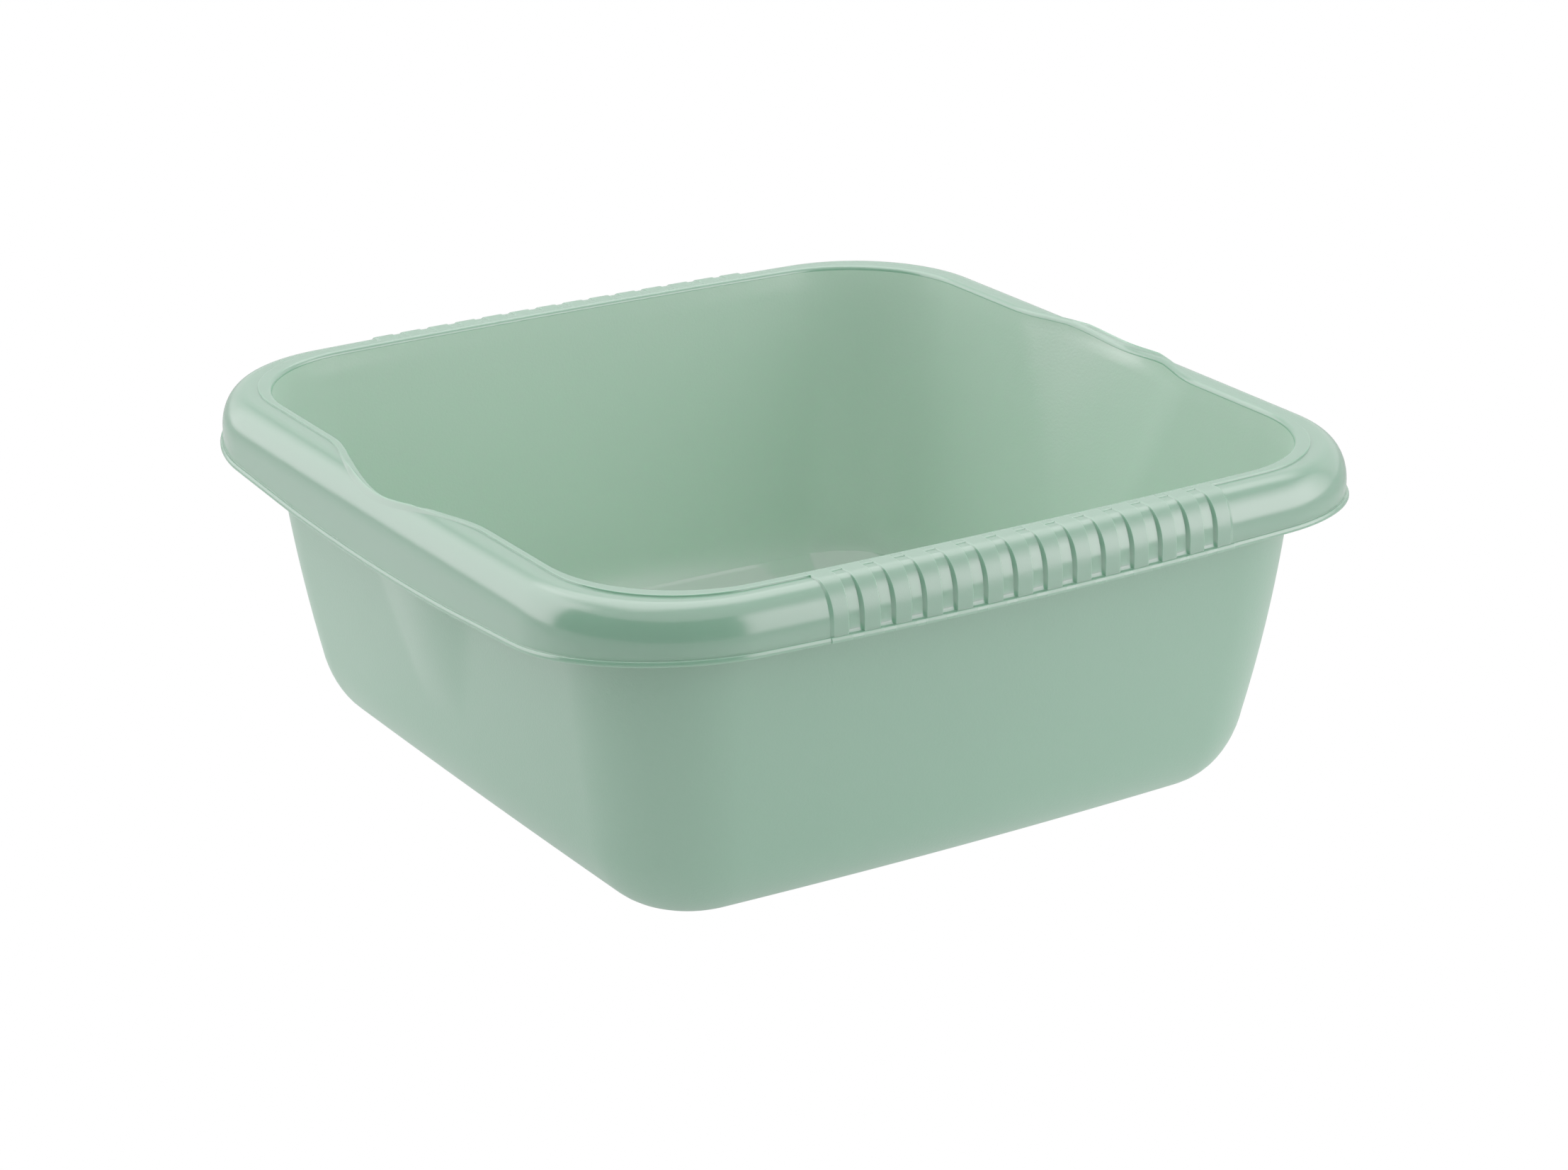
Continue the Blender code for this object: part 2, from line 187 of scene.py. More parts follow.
# Camera
CAMERA_AZIMUTH = -32.46
CAMERA_ELEVATION = 20.729
CAMERA_ROLL = -0.046
CAMERA_DISTANCE = 1.65787
CAMERA_RIGHT = 0.00448
CAMERA_DOWN = 0.00021
CAMERA_TARGET_HEIGHT = 0.07
SENSOR_WIDTH = 36.0
LENS = 90.31


class Column:
    """One place along a quarter of the outline, from the spout's middle to the grip's."""

    def __init__(self, kind, along=0.0, pocket=0, side=0, ramp=0.0, kept=True):
        self.kind = kind
        self.along = along
        self.pocket = pocket
        self.side = side
        self.ramp = ramp
        self.kept = kept

    def grip_x(self, run):
        """X of a grip column where the bands' sides have this run."""
        middle = self.pocket * BAND_PITCH
        if self.kind == "side":
            return middle + self.side * (POCKET_HALF + self.ramp * run)
        if self.kind == "crown":
            return middle + BAND_PITCH / 2
        return middle

    def band_share(self):
        """How much of the band's height is here: 0 in a pocket, 1 on a band."""
        if self.kind == "crown":
            return 1.0
        if self.kind == "floor" or self.ramp <= 0:
            return 0.0
        if self.ramp >= 1:
            return 1.0
        slope = 1 / (1 - SIDE_FOOT / 2)
        if self.ramp < SIDE_FOOT:
            return slope * self.ramp ** 2 / (2 * SIDE_FOOT)
        return slope * (self.ramp - SIDE_FOOT / 2)


def quarter_columns():
    """Columns of a quarter, in order."""
    columns = []
    for index in range(SPOUT_COLUMNS + 1):
        columns.append(Column("spout", SPOUT_COLUMNS_END * index / SPOUT_COLUMNS))
    for index in range(CORNER_COLUMNS + 1):
        columns.append(Column("corner", index / CORNER_COLUMNS))
    for index in range(1, SHOULDER_COLUMNS):
        columns.append(Column("shoulder", index / SHOULDER_COLUMNS, kept=index % 2 == 0))
    for pocket in range(POCKETS, -1, -1):
        if pocket < POCKETS:
            columns.append(Column("crown", pocket=pocket))
            for ramp in reversed(SIDE_PLACES):
                columns.append(Column("side", 0.0, pocket, 1, ramp, False))
            columns.append(Column("floor", pocket=pocket))
        if pocket > 0:
            for ramp in SIDE_PLACES:
                columns.append(Column("side", 0.0, pocket, -1, ramp, False))
    return columns


class Section:
    """One level of the skin: insets from the lip, height, corner radius and bows."""

    def __init__(self, inset_x, inset_y, height, corner, skin=GLOSSY, body=False):
        self.inset_x = inset_x
        self.inset_y = inset_y
        self.height = height
        self.corner = corner
        self.skin = skin
        self.bow_x = BODY_BOW_SPOUT if body else SPOUT_SIDE_BOW
        self.bow_y = BODY_BOW_GRIP if body else GRIP_SIDE_BOW
        self.sway = False
        self.thick = None
        self.ledge = None
        self.wall = False
        self.band = (0.0, 0.0)
        self.pocket = (0.0, 0.0)


def sagitta(along, radius):
    """How far a bowed side lies inside its middle, this far along it."""
    return radius - math.sqrt(radius * radius - along * along)


def corner_arc(half_x, half_y, section):
    """Centre, start angle and end angle of a section's corner."""
    reach_x = section.bow_x - section.corner
    reach_y = section.bow_y - section.corner
    low = Vector((half_x - section.bow_x, 0.0))
    span = Vector((0.0, half_y - section.bow_y)) - low
    length = span.length
    span.normalize()
    split = (reach_x ** 2 - reach_y ** 2 + length ** 2) / (2 * length)
    rise = math.sqrt(reach_x ** 2 - split ** 2)
    centre = low + span * split + Vector((-span.y, span.x)) * rise
    start = math.atan2(centre.y, centre.x - low.x)
    end = math.atan2(centre.y - (half_y - section.bow_y), centre.x)
    return centre, start, end


def spout_share(along, half_width):
    """Spout depth here as a share of its depth in the middle: an arc with soft ends."""
    softness = SPOUT_END_SOFTNESS / (SPOUT_DEPTH + SPOUT_LEDGE_EXTRA)
    arc = 1 - (along / half_width) ** 2
    blend = max(softness - abs(arc), 0) / softness
    return max(arc, 0) + blend * blend * softness / 4


def wall_spout(along, height):
    """How far the spout pushes the body wall out at this height."""
    fall = (OPENING_EDGE - height) / SPOUT_FALL
    if fall >= 1:
        return 0.0
    fall = max(fall, 0.0)
    half_width = SPOUT_HALF_WIDTH * (1 - SPOUT_NARROWING * fall)
    return SPOUT_DEPTH * (1 - fall) * spout_share(along, half_width)


def step_spout(along):
    """How far the spout pushes the step line out across the rim."""
    return (SPOUT_DEPTH + SPOUT_LEDGE_EXTRA) * spout_share(along, SPOUT_HALF_WIDTH)


def arch_travel(inset, foot, crest):
    """Travel along the arch to this inset: 0 to 1 on the curve, more on the flat top."""
    if inset >= crest:
        return 1 + (inset - crest) / FLAT_UNIT
    share = max(min((inset - foot) / (crest - foot), 1), 0)
    return math.acos(1 - share) / (math.pi / 2)


def arch_point(travel, foot, crest, bottom, top):
    """Inset and height at this travel along the arch."""
    if travel >= 1:
        return crest + (travel - 1) * FLAT_UNIT, top
    angle = travel * math.pi / 2
    return foot + (crest - foot) * (1 - math.cos(angle)), bottom + (top - bottom) * math.sin(angle)


def step_level(along):
    """Height of the rim's outer face at the step line on a spout side."""
    travel = arch_travel(STEP_INSET_SPOUT - step_spout(along), SKIRT_INSET, CREST_INSET_SPOUT)
    return arch_point(travel, SKIRT_INSET, CREST_INSET_SPOUT, SKIRT_TOP, RIM_TOP)[1]


def spout_move(section, along):
    """Outward push and lift that the spout gives a section on a spout side."""
    level = step_level(along)
    ceiling = level + LEDGE_STEP - RIM_WALL
    if section.wall:
        return wall_spout(along, section.height), min(ceiling - section.height, 0.0)
    if section.ledge is not None:
        share = spout_share(along, SPOUT_HALF_WIDTH)
        ridge = min(level + LEDGE_STEP + SPOUT_RIDGE * share, LEDGE_HEIGHT)
        climb = min((section.height - RIM_TOP) / LEDGE_STEP, 1.0) if section.ledge < 1 else 1.0
        outer = step_spout(along) - SPOUT_RIDGE_RUN * share * climb
        inner = wall_spout(along, OPENING_EDGE)
        fall = max(ridge - level - LEDGE_STEP - SPOUT_EDGE_RISE * share, 0.0)
        if section.ledge:
            eased = section.ledge ** 2 * (3 - 2 * section.ledge)
            lift = ridge - fall * eased - LEDGE_HEIGHT
        else:
            lift = level + (ridge - level) * climb - section.height
        return outer + (inner - outer) * section.ledge, lift
    if section.thick is None:
        return 0.0, 0.0
    foot = SKIRT_INSET + section.thick
    end, end_here = STEP_INSET_SPOUT, STEP_INSET_SPOUT - step_spout(along)
    if section.thick:
        end = OPENING_INSET_SPOUT - WALL
        end_here = end - wall_spout(along, RIM_TOP)
    crest = CREST_INSET_SPOUT
    share = arch_travel(end_here, foot, crest) / arch_travel(end, foot, crest)
    travel = arch_travel(section.inset_x, foot, crest) * share
    inset, height = arch_point(travel, foot, crest, SKIRT_TOP, RIM_TOP - section.thick)
    if section.thick:
        height = min(height, ceiling)
    return section.inset_x - inset, height - section.height


def lip_sway(x, y):
    """Height of the lip here over its height at the middle of a grip side."""
    across = (x / HALF_WIDTH) ** 2
    along = (y / HALF_DEPTH) ** 2
    return LIP_CORNER_RISE * across * along - LIP_DROOP * across * (1 - along)


def place_section(chain, columns, section):
    """Put the chain's vertices on a section."""
    half_x = HALF_WIDTH - section.inset_x
    half_y = HALF_DEPTH - section.inset_y
    centre, start, end = corner_arc(half_x, half_y, section)
    tangent_x = centre.x + section.corner * math.cos(end)
    depth = math.hypot(section.band[0] - section.pocket[0], section.band[1] - section.pocket[1])
    run = SIDE_RUN + SIDE_RUN_FOR_DEPTH * depth
    sleeve_end = POCKETS * BAND_PITCH - POCKET_HALF
    for vertex, column in zip(chain, columns):
        z = section.height
        if column.kind == "spout":
            y = column.along
            push, lift = spout_move(section, y)
            x = half_x - sagitta(y, section.bow_x) + push
            z += lift
        elif column.kind == "corner":
            angle = start + (end - start) * column.along
            x = centre.x + section.corner * math.cos(angle)
            y = centre.y + section.corner * math.sin(angle)
        elif column.kind == "shoulder":
            x = tangent_x + (sleeve_end - tangent_x) * column.along
            y = half_y - sagitta(x, section.bow_y)
        else:
            outermost = column.pocket == POCKETS
            x = column.grip_x(run * OUTERMOST_SIDE_RUN if outermost else run)
            y = half_y - sagitta(x, section.bow_y)
            share = column.band_share()
            low = (0.0, 0.0) if outermost else section.pocket
            y += low[0] + (section.band[0] - low[0]) * share
            z += low[1] + (section.band[1] - low[1]) * share
        if section.sway:
            z += lip_sway(x, y)
        vertex.co = (x, y, z)


def lip_sections():
    """Bead and its shelf, from the lip's edge up to the foot of the arch."""
    outline = [(LIP_EDGE, LIP_HEIGHT), (LIP_EDGE * 0.3, LIP_HEIGHT + LIP_EDGE * 0.3),
               (0.0, LIP_HEIGHT + LIP_EDGE), (0.0, LIP_HEIGHT + LIP_EDGE * 1.3),
               (0.0, LIP_HEIGHT + BEAD_FACE)]
    lean = BEAD_LEAN / len(BEAD_LEAN_ANGLES)
    for angle in BEAD_LEAN_ANGLES:
        inset, height = outline[-1]
        outline.append((inset + lean * math.sin(math.radians(angle)),
                        height + lean * math.cos(math.radians(angle))))
    inset, height = outline[-1]
    for angle in BEAD_ROUND_ANGLES:
        share = (angle - 25) / 60
        outline.append((inset + BEAD_ROUND * share ** 1.6,
                        height + (BEAD_TOP - height) * math.sin(share * math.pi / 2)))
    sections = []
    for inset, height in outline:
        section = Section(inset, inset, height, LIP_CORNER - inset)
        section.band = section.pocket = (BAND_RAISE, 0.0)
        sections.append(section)
    for step in range(4):
        angle = math.pi / 2 * step / 3
        inset = SKIRT_INSET - BEAD_CORNER * (1 - math.sin(angle))
        height = BEAD_TOP + BEAD_CORNER * (1 - math.cos(angle))
        sections.append(Section(inset, inset, height, LIP_CORNER - inset))
    for share in (0.25, 0.6):
        height = BEAD_TOP + BEAD_CORNER + (SKIRT_TOP - BEAD_TOP - BEAD_CORNER) * share
        sections.append(Section(SKIRT_INSET, SKIRT_INSET, height, LIP_CORNER - SKIRT_INSET))
    for section in sections[len(outline):]:
        section.band = (BAND_RAISE, 0.0)
        section.pocket = (-POCKET_SINK, 0.0)
    for section in sections:
        section.sway = True
    sections[-1].sway = False
    return sections


def arch_section(angle, thick):
    """Section on the curve of the arch, this far under its outer face."""
    foot = SKIRT_INSET + thick
    inset_x = foot + (CREST_INSET_SPOUT - foot) * (1 - math.cos(angle))
    inset_y = foot + (CREST_INSET_GRIP - foot) * (1 - math.cos(angle))
    height = SKIRT_TOP + (RIM_TOP - thick - SKIRT_TOP) * math.sin(angle)
    section = Section(inset_x, inset_y, height, LIP_CORNER - inset_y)
    section.thick = thick
    return section


def rim_sections():
    """Outer face of the rim, from the foot of the arch over the step to the ledge."""
    sections = []
    for index in range(ARCH_SECTIONS + 1):
        angle = math.pi / 2 * index / ARCH_SECTIONS
        section = arch_section(angle, 0.0)
        normal = Vector(((RIM_TOP - SKIRT_TOP) * math.cos(angle),
                         (CREST_INSET_GRIP - SKIRT_INSET) * math.sin(angle))).normalized()
        rise = math.sin(angle)
        section.band = tuple(normal * (BAND_RAISE + (LEDGE_STEP - BAND_RAISE) * rise ** 2))
        sink = -POCKET_SINK + (POCKET_TOP_LIFT + POCKET_SINK) * rise ** 4
        section.pocket = tuple(normal * sink)
        sections.append(section)
    corner = LIP_CORNER - STEP_INSET_GRIP
    for index in range(1, FLAT_SECTIONS + 1):
        share = index / FLAT_SECTIONS
        inset_x = (CREST_INSET_SPOUT
                   + (STEP_INSET_SPOUT - FLAT_END_GAP - CREST_INSET_SPOUT) * share)
        inset_y = CREST_INSET_GRIP + (STEP_INSET_GRIP - FLAT_END_GAP - CREST_INSET_GRIP) * share
        flat = Section(inset_x, inset_y, RIM_TOP, LIP_CORNER - inset_y)
        flat.thick = 0.0
        flat.band, flat.pocket = (0.0, LEDGE_STEP), (0.0, POCKET_TOP_LIFT)
        sections.append(flat)
    for step in range(STEP_SECTIONS + 1):
        share = step / STEP_SECTIONS
        ramp = share - STEP_SHARPNESS * math.sin(2 * math.pi * share) / (2 * math.pi)
        run = LEDGE_STEP_RUN * share
        section = Section(STEP_INSET_SPOUT + run, STEP_INSET_GRIP + run,
                          RIM_TOP + LEDGE_STEP * ramp, corner - run)
        section.ledge = 0.0
        section.band = (0.0, LEDGE_STEP * (1 - ramp))
        section.pocket = (0.0, POCKET_TOP_LIFT * (1 - ramp))
        sections.append(section)
    last = sections[-1]
    end = opening_sections()[0]
    for share in LEDGE_SHARES:
        section = Section(last.inset_x + (end.inset_x - last.inset_x) * share,
                          last.inset_y + (end.inset_y - last.inset_y) * share, LEDGE_HEIGHT,
                          last.corner + (end.corner - last.corner) * share)
        section.ledge = share
        sections.append(section)
    return sections


def opening_sections():
    """From the ledge's inner edge round into the inner wall."""
    sections = []
    for step in range(OPENING_SECTIONS + 1):
        angle = math.pi / 2 * step / OPENING_SECTIONS
        back = OPENING_FILLET * (1 - math.sin(angle))
        drop = OPENING_FILLET * (1 - math.cos(angle))
        section = Section(OPENING_INSET_SPOUT - back, OPENING_INSET_GRIP - back,
                          LEDGE_HEIGHT - drop, OPENING_CORNER + back)
        section.ledge = 1.0
        sections.append(section)
    return sections


def wall_slope(draft):
    """Inward run of the wall for each unit of drop where it meets the base fillet."""
    return draft + 2 * BARREL / (RIM_TOP - BASE_FILLET_HEIGHT)


def wall_section(height, thick):
    """Section of the body wall at this height, this far inside its outer face."""
    drop = RIM_TOP - height
    whole = RIM_TOP - BASE_FILLET_HEIGHT
    barrel = BARREL * (drop / whole) ** 2
    inset_x = OPENING_INSET_SPOUT - WALL + DRAFT_SPOUT * drop + barrel
    inset_y = OPENING_INSET_GRIP - WALL + DRAFT_GRIP * drop + barrel
    corner = OPENING_CORNER + WALL + (BASE_CORNER - OPENING_CORNER - WALL) * drop / whole
    corner -= CORNER_FULLNESS * 4 * drop / whole * (1 - drop / whole)
    section = Section(inset_x + thick, inset_y + thick, height, corner - thick, GRAINED, True)
    section.wall = True
    return section


def wall_sections(top, thick):
    """Body wall from its top down to the base fillet."""
    return [wall_section(top + (BASE_FILLET_HEIGHT - top) * index / WALL_SECTIONS, thick)
            for index in range(WALL_SECTIONS + 1)]


def fillet_sections(thick, level):
    """Rounded base edge, a conic that leaves the wall and meets the base smoothly."""
    sections = []
    start = wall_section(BASE_FILLET_HEIGHT, thick)
    fall = BASE_FILLET_HEIGHT - level
    width = BASE_FILLET_WIDTH - thick
    for index in range(1, FILLET_SECTIONS + 1):
        share = index / FILLET_SECTIONS
        middle = 2 * BASE_FILLET_FULLNESS * share * (1 - share)
        total = (1 - share) ** 2 + middle + share ** 2
        run_x = (middle * wall_slope(DRAFT_SPOUT) * fall + share ** 2 * width) / total
        run_y = (middle * wall_slope(DRAFT_GRIP) * fall + share ** 2 * width) / total
        height = level + (1 - share) ** 2 * fall / total
        sections.append(Section(start.inset_x + run_x, start.inset_y + run_y, height,
                                start.corner - run_y, GRAINED, True))
    return sections


def inward(section, extra, height):
    """The same section this much further in, at this height."""
    return Section(section.inset_x + extra, section.inset_y + extra, height,
                   max(section.corner - extra, 0.001), section.skin, True)


def outside_sections():
    """From the lip's underside through the hollow rim, down the body and under the base."""
    under = Section(RIM_WALL, RIM_WALL, LIP_HEIGHT, LIP_CORNER - RIM_WALL)
    under.sway = True
    hollow = [arch_section(math.pi / 2 * index / HOLLOW_SECTIONS, RIM_WALL)
              for index in range(HOLLOW_SECTIONS + 1)]
    walls = wall_sections(RIM_TOP - RIM_WALL, 0.0)
    fillet = fillet_sections(0.0, 0.0)
    recess = FOOT_WIDTH + FOOT_HEIGHT
    foot = [inward(fillet[-1], extra, height) for extra, height in (
        (2 * FOOT_ROUND, 0.0),
        (FOOT_WIDTH - FOOT_ROUND, 0.0), (FOOT_WIDTH + FOOT_ROUND, FOOT_ROUND),
        (recess - FOOT_ROUND, FOOT_HEIGHT - FOOT_ROUND), (recess + FOOT_ROUND, FOOT_HEIGHT),
        (FOOT_WIDTH + CAP_MARGIN, FOOT_HEIGHT))]
    return [under] + hollow + walls + fillet + foot


def inside_sections():
    """From the opening's edge down the inner wall and round to the floor, polished at its foot."""
    fillet = fillet_sections(WALL, FLOOR_HEIGHT)
    margin = inward(fillet[-1], CAP_MARGIN, FLOOR_HEIGHT)
    sections = wall_sections(OPENING_EDGE, WALL)[1:] + fillet + [margin]
    for index, section in enumerate(sections):
        section.skin = INSIDE if index < POLISHED_FROM else FLOOR
    return sections


def on_band(column):
    """Whether this column runs along the top of a band."""
    return column.kind == "crown" or column.kind == "side" and column.ramp >= 1


def draw_on(skin, chain, columns, section):
    """Extrude the chain to the next section."""
    places = {vertex: place for place, vertex in enumerate(chain)}
    edges = [skin.edges.get(pair) for pair in zip(chain, chain[1:])]
    grown = bmesh.ops.extrude_edge_only(skin, edges=edges)["geom"]
    fresh = {item for item in grown if isinstance(item, bmesh.types.BMVert)}
    following = [next(edge.other_vert(vertex) for edge in vertex.link_edges
                      if edge.other_vert(vertex) in fresh) for vertex in chain]
    for face in (item for item in grown if isinstance(item, bmesh.types.BMFace)):
        sides = [columns[places[vertex]] for vertex in face.verts if vertex in places]
        banded = section.skin == GLOSSY and all(on_band(column) for column in sides)
        face.material_index = BAND if banded else section.skin
    place_section(following, columns, section)
    return following


def thin_out(skin, chain, columns):
    """Drop the band columns from the end of the strip, where it is plain."""
    extra = [vertex for vertex, column in zip(chain, columns) if not column.kept]
    kept = [vertex for vertex, column in zip(chain, columns) if column.kept]
    bmesh.ops.dissolve_verts(skin, verts=extra)
    return kept, [column for column in columns if column.kept]


def basin_skin():
    """Closed skin of the whole basin: a quarter drawn section by section, then mirrored."""
    skin = bmesh.new()
    columns = quarter_columns()
    ends = [skin.verts.new((place, 0.0, 0.0)) for place in (0.0, 1.0)]
    first_edge = skin.edges.new(ends)
    bmesh.ops.subdivide_edges(skin, edges=[first_edge], cuts=len(columns) - 2)
    start = sorted(skin.verts, key=lambda vertex: vertex.co.x)
    rim = lip_sections() + rim_sections()
    place_section(start, columns, rim[0])

    chain = start
    for section in rim[1:]:
        chain = draw_on(skin, chain, columns, section)
    ledge, *opening = opening_sections()
    chain = draw_on(skin, chain, columns, ledge)
    chain, few = thin_out(skin, chain, columns)
    for section in opening + inside_sections():
        chain = draw_on(skin, chain, few, section)

    under, *outside = outside_sections()
    chain = draw_on(skin, start, columns, under)
    chain, few = thin_out(skin, chain, columns)
    for section in outside:
        chain = draw_on(skin, chain, few, section)

    for axis in "XY":
        everything = skin.verts[:] + skin.edges[:] + skin.faces[:]
        bmesh.ops.mirror(skin, geom=everything, axis=axis, merge_dist=1e-6)
    rims = [edge for edge in skin.edges if edge.is_boundary]
    caps = bmesh.ops.edgeloop_fill(skin, edges=rims, mat_nr=GRAINED, use_smooth=True)["faces"]
    max(caps, key=lambda face: face.calc_center_median().z).material_index = FLOOR
    bmesh.ops.recalc_face_normals(skin, faces=skin.faces[:])
    for face in skin.faces:
        face.smooth = True
    return skin


def new_material(name):
    """An empty node material with its Principled shader."""
    material = bpy.data.materials.new(name)
    material.use_nodes = True
    return material, material.node_tree.nodes, material.node_tree.links


def sage_plastic(name, colours, roughness, reflectance, grain_size, grain_depth):
    """Translucent polypropylene of these tints, with this gloss and this moulded grain."""
    material, nodes, links = new_material(name)
    shader = nodes["Principled BSDF"]
    place = nodes.new("ShaderNodeTexCoord")
    shade = nodes.new("ShaderNodeTexNoise")
    shade.inputs["Scale"].default_value = CLOUD_SCALE
    shade.inputs["Detail"].default_value = 3.0
    links.new(place.outputs["Object"], shade.inputs["Vector"])
    tint = nodes.new("ShaderNodeValToRGB")
    for element, position, colour in zip(tint.color_ramp.elements, CLOUD_RANGE, colours):
        element.position = position
        element.color = (*colour, 1.0)
    links.new(shade.outputs["Fac"], tint.inputs["Fac"])
    links.new(tint.outputs["Color"], shader.inputs["Base Color"])
    shader.inputs["Roughness"].default_value = roughness
    shader.inputs["IOR"].default_value = PLASTIC_IOR
    shader.inputs["Specular IOR Level"].default_value = reflectance / FULL_LEVEL_REFLECTANCE
    shader.inputs["Subsurface Weight"].default_value = 1.0
    shader.inputs["Subsurface Radius"].default_value = GLOW_SPREAD
    shader.inputs["Subsurface Scale"].default_value = GLOW_DEPTH
    grain = nodes.new("ShaderNodeTexNoise")
    grain.inputs["Scale"].default_value = 1.0 / grain_size
    grain.inputs["Detail"].default_value = 2.0
    links.new(place.outputs["Object"], grain.inputs["Vector"])
    bump = nodes.new("ShaderNodeBump")
    bump.inputs["Strength"].default_value = 1.0
    bump.inputs["Distance"].default_value = grain_depth
    links.new(grain.outputs["Fac"], bump.inputs["Height"])
    links.new(bump.outputs["Normal"], shader.inputs["Normal"])
    return material


def add_basin():
    """The basin, in place of its CAD node."""
    mesh = bpy.data.meshes.new("basin_skin")
    skin = basin_skin()
    skin.to_mesh(mesh)
    skin.free()
    for finish in (
            sage_plastic("sage_grained", SAGE, roughness=0.34, reflectance=0.10,
                         grain_size=0.0010, grain_depth=0.00011),
            sage_plastic("sage_glossy", DEEP_SAGE, roughness=0.18, reflectance=0.13,
                         grain_size=0.02, grain_depth=0.00002),
            sage_plastic("sage_band", DEEP_SAGE, roughness=0.32, reflectance=0.13,
                         grain_size=0.0006, grain_depth=0.00003),
            # The inside and its floor take the paler tint, which paints light and sheen into them
            sage_plastic("sage_inside_painted_light", SHEEN_PAINTED_SAGE, roughness=0.30, reflectance=0.09,
                         grain_size=0.0011, grain_depth=0.00006),
            sage_plastic("sage_floor_painted_light", SHEEN_PAINTED_SAGE, roughness=0.07, reflectance=0.13,
                         grain_size=0.02, grain_depth=0.00002)):
        mesh.materials.append(finish)
    basin = bpy.data.objects.new("basin_moulding", mesh)
    bpy.context.scene.collection.objects.link(basin)
    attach(basin, "root")
    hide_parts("basin")
    return basin


def add_floor():
    """Plain pale floor that the camera sees as white, with a painted pool of light round the
    basin's foot: emission that stands in for the softboxes' light on the floor.
    """
    mesh = bpy.data.meshes.new("floor")
    sheet = bmesh.new()
    bmesh.ops.create_grid(sheet, x_segments=1, y_segments=1, size=FLOOR_SIZE)
    sheet.to_mesh(mesh)
    sheet.free()
    material, nodes, links = new_material("pale_floor")
    shader = nodes["Principled BSDF"]
    shader.inputs["Base Color"].default_value = (FLOOR_TONE, FLOOR_TONE, FLOOR_TONE, 1.0)
    shader.inputs["Roughness"].default_value = STUDIO_MATTE
    shader.inputs["Emission Color"].default_value = WHITE
    # Painted pool of light: the floor's emission fades out from round the basin, reaching further
    # to one side
    place = nodes.new("ShaderNodeTexCoord")
    reach = nodes.new("ShaderNodeMapping")
    reach.vector_type = "TEXTURE"
    reach.inputs["Rotation"].default_value = (0.0, 0.0, math.radians(PAINTED_FLOOR_LIGHT_TURN))
    reach.inputs["Scale"].default_value = PAINTED_FLOOR_LIGHT_REACH
    links.new(place.outputs["Object"], reach.inputs["Vector"])
    painted_pool = nodes.new("ShaderNodeTexGradient")
    painted_pool.gradient_type = "SPHERICAL"
    links.new(reach.outputs["Vector"], painted_pool.inputs["Vector"])
    strength = nodes.new("ShaderNodeMath")
    strength.operation = "MULTIPLY"
    strength.inputs[1].default_value = PAINTED_FLOOR_LIGHT
    links.new(painted_pool.outputs["Fac"], strength.inputs[0])
    links.new(strength.outputs["Value"], shader.inputs["Emission Strength"])
    white = nodes.new("ShaderNodeEmission")
    path = nodes.new("ShaderNodeLightPath")
    mix = nodes.new("ShaderNodeMixShader")
    links.new(path.outputs["Is Camera Ray"], mix.inputs["Fac"])
    links.new(shader.outputs["BSDF"], mix.inputs[1])
    links.new(white.outputs["Emission"], mix.inputs[2])
    links.new(mix.outputs["Shader"], nodes["Material Output"].inputs["Surface"])
    mesh.materials.append(material)
    floor = bpy.data.objects.new("floor", mesh)
    bpy.context.scene.collection.objects.link(floor)


def add_dark_wall():
    """Curved dark wall behind the camera, seen only in reflections."""
    mesh = bpy.data.meshes.new("dark_wall")
    wall = bmesh.new()
    start = math.radians(DARK_WALL_START)
    foot = wall.verts.new((DARK_WALL_DISTANCE * math.cos(start),
                           DARK_WALL_DISTANCE * math.sin(start), 0.0))
    grown = bmesh.ops.extrude_vert_indiv(wall, verts=[foot])
    bmesh.ops.translate(wall, verts=grown["verts"], vec=(0.0, 0.0, DARK_WALL_HEIGHT))
    bmesh.ops.spin(wall, geom=wall.verts[:] + wall.edges[:], cent=(0, 0, 0), axis=(0, 0, -1),
                   angle=math.radians(DARK_WALL_SWEEP), steps=48)
    wall.to_mesh(mesh)
    wall.free()
    material, nodes, _ = new_material("dark_wall")
    shader = nodes["Principled BSDF"]
    shader.inputs["Base Color"].default_value = (DARK_WALL_TONE, DARK_WALL_TONE,
                                                 DARK_WALL_TONE, 1.0)
    shader.inputs["Roughness"].default_value = STUDIO_MATTE
    mesh.materials.append(material)
    dark = bpy.data.objects.new("dark_wall", mesh)
    dark.visible_diffuse = False
    dark.visible_shadow = False
    bpy.context.scene.collection.objects.link(dark)


def add_softbox(name, place, target, width, height, brightness):
    """A rectangular soft light of this brightness that looks at a point."""
    light = bpy.data.lights.new(name, "AREA")
    light.shape = "RECTANGLE"
    light.size = width
    light.size_y = height
    light.energy = brightness * math.pi * width * height
    box = bpy.data.objects.new(name, light)
    box.location = place
    direction = Vector(place) - Vector(target)
    box.rotation_mode = "QUATERNION"
    box.rotation_quaternion = direction.to_track_quat("Z", "Y")
    box.visible_camera = False
    bpy.context.scene.collection.objects.link(box)
    return box


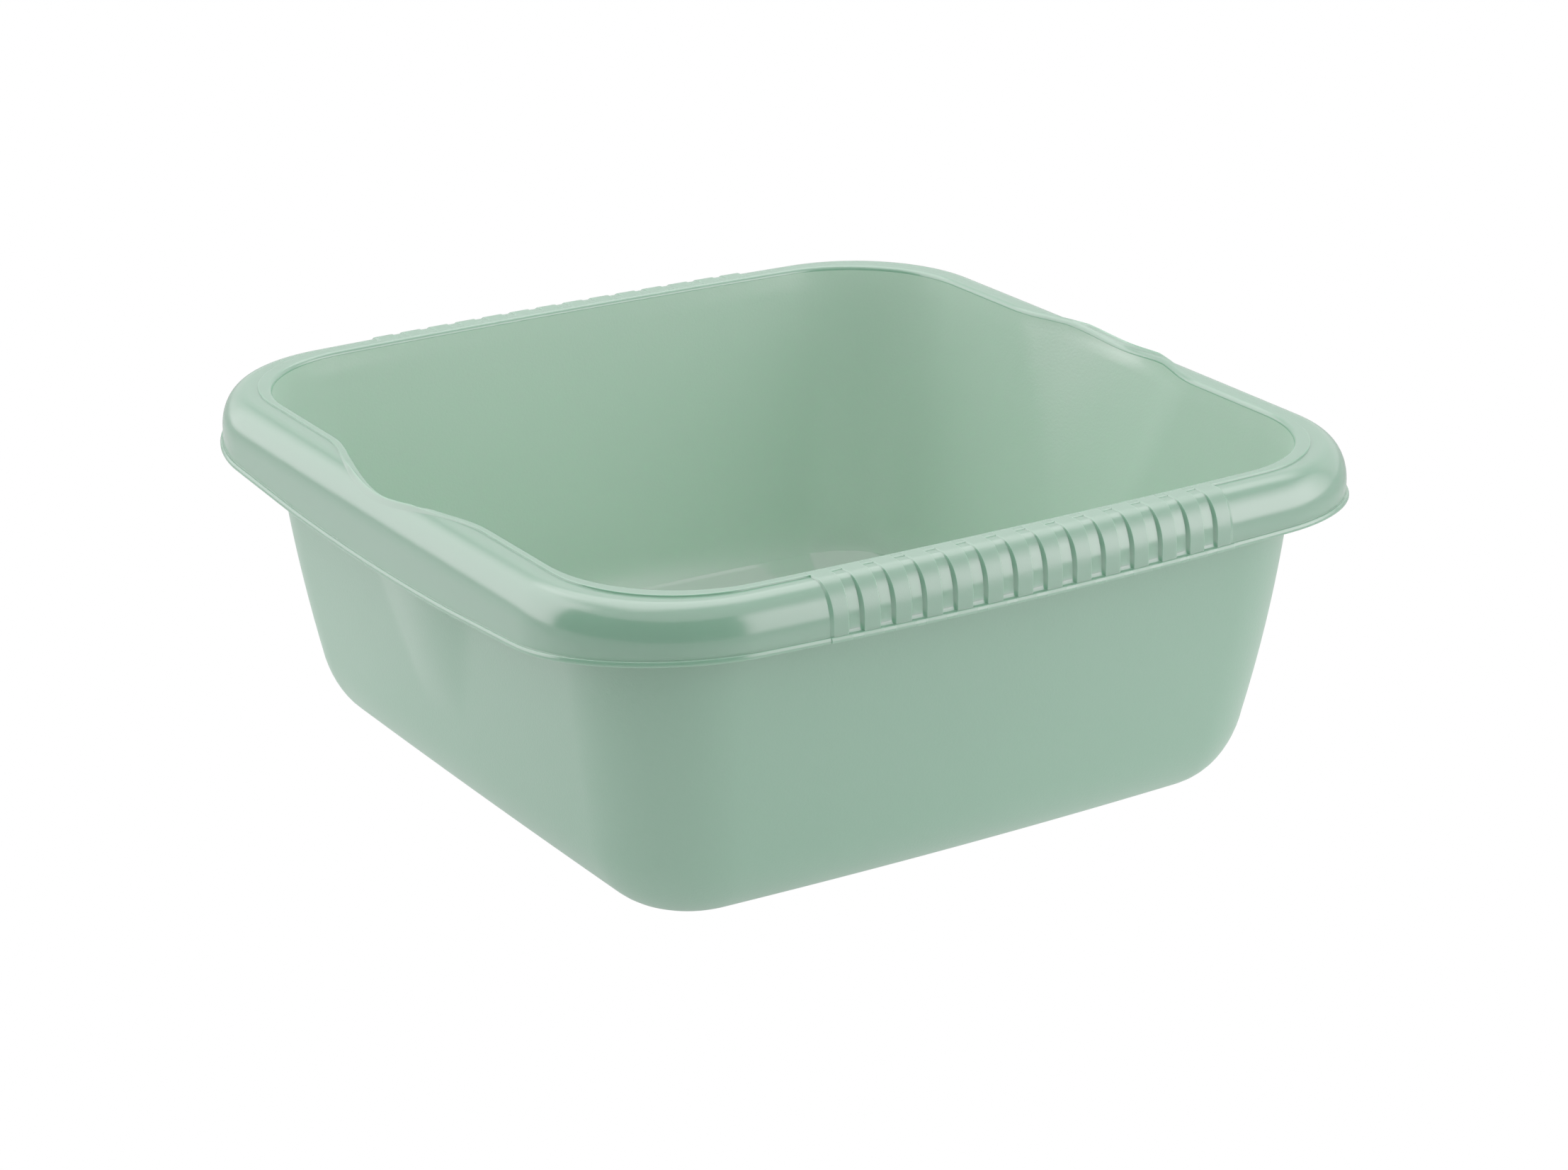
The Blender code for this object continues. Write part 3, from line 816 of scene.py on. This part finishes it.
def add_standing_softbox(name, azimuth, low, high, half_angle, feather, distance, brightness,
                         gleams=0):
    """An upright softbox that fills these angles seen from the basin and fades at its edges.

    It is a stack of layers of different size, and its first gleams layers are seen only in
    reflections. The layers stand a little apart, because coplanar ones lose their reflection.
    """
    turn = math.radians(azimuth)
    for layer in range(SOFTBOX_LAYERS):
        wider = feather * (layer / (SOFTBOX_LAYERS - 1) * 2 - 1)
        bottom, top = (distance * math.tan(math.radians(angle))
                       for angle in (low, high + wider * 0.7))
        level = SOFTBOX_LEVEL + (bottom + top) / 2
        reach = distance + LAYER_GAP * layer
        box = add_softbox(f"{name}_{layer + 1}",
                          (reach * math.cos(turn), reach * math.sin(turn), level), (0, 0, level),
                          2 * distance * math.tan(math.radians(half_angle + wider)),
                          top - bottom, brightness / SOFTBOX_LAYERS)
        box.visible_diffuse = layer >= gleams


def add_camera():
    """Camera at the photo's viewing angle."""
    azimuth = math.radians(CAMERA_AZIMUTH)
    elevation = math.radians(CAMERA_ELEVATION)
    roll = math.radians(CAMERA_ROLL)
    back = Vector((math.sin(azimuth) * math.cos(elevation),
                   -math.cos(azimuth) * math.cos(elevation), math.sin(elevation)))
    right = Vector((math.cos(azimuth), math.sin(azimuth), 0.0))
    up = back.cross(right)
    turned_right = right * math.cos(roll) + up * math.sin(roll)
    turned_up = up * math.cos(roll) - right * math.sin(roll)
    lens = bpy.data.cameras.new("camera")
    lens.sensor_width = SENSOR_WIDTH
    lens.lens = LENS
    camera = bpy.data.objects.new("camera", lens)
    camera.rotation_mode = "QUATERNION"
    facing = Matrix((turned_right, turned_up, back)).transposed()
    camera.rotation_quaternion = facing.to_quaternion()
    camera.location = (Vector((0.0, 0.0, CAMERA_TARGET_HEIGHT)) + back * CAMERA_DISTANCE
                       + turned_right * CAMERA_RIGHT - turned_up * CAMERA_DOWN)
    bpy.context.scene.collection.objects.link(camera)
    bpy.context.scene.camera = camera


def light_room():
    """White backdrop for the eye, softer light on the basin, and the softboxes."""
    world = bpy.data.worlds.new("studio")
    world.use_nodes = True
    nodes, links = world.node_tree.nodes, world.node_tree.links
    seen = nodes["Background"]
    seen.inputs["Color"].default_value = WHITE
    seen.inputs["Strength"].default_value = 1.0
    fill = nodes.new("ShaderNodeBackground")
    fill.inputs["Color"].default_value = WHITE
    fill.inputs["Strength"].default_value = FILL_LIGHT
    path = nodes.new("ShaderNodeLightPath")
    mix = nodes.new("ShaderNodeMixShader")
    links.new(path.outputs["Is Camera Ray"], mix.inputs["Fac"])
    links.new(fill.outputs["Background"], mix.inputs[1])
    links.new(seen.outputs["Background"], mix.inputs[2])
    links.new(mix.outputs["Shader"], nodes["World Output"].inputs["Surface"])
    bpy.context.scene.world = world
    bpy.context.scene.view_settings.view_transform = "Standard"
    bpy.context.scene.view_settings.gamma = PICTURE_GAMMA
    add_standing_softbox("front_right_softbox", azimuth=-43, low=-2.5, high=32, half_angle=27,
                         feather=11, distance=2.2, brightness=1.75)
    add_standing_softbox("back_left_softbox", azimuth=134, low=-2.5, high=57, half_angle=33,
                         feather=9, distance=2.2, brightness=1.20, gleams=1)
    add_standing_softbox("back_wall_light", azimuth=48, low=-2.5, high=36, half_angle=47,
                         feather=3, distance=2.6, brightness=0.25)
    far = math.radians(OVERHEAD_AZIMUTH)
    for layer in range(OVERHEAD_LAYERS):
        place = Vector((OVERHEAD_DISTANCE * math.cos(far), OVERHEAD_DISTANCE * math.sin(far),
                        OVERHEAD_HEIGHT + LAYER_GAP * layer))
        add_softbox(f"overhead_softbox_{layer + 1}", place, place - Vector((0, 0, 1)),
                    width=2.3 + 0.4 * layer, height=2.1 + 0.4 * layer, brightness=0.42)


add_basin()
add_floor()
add_dark_wall()
add_camera()
light_room()
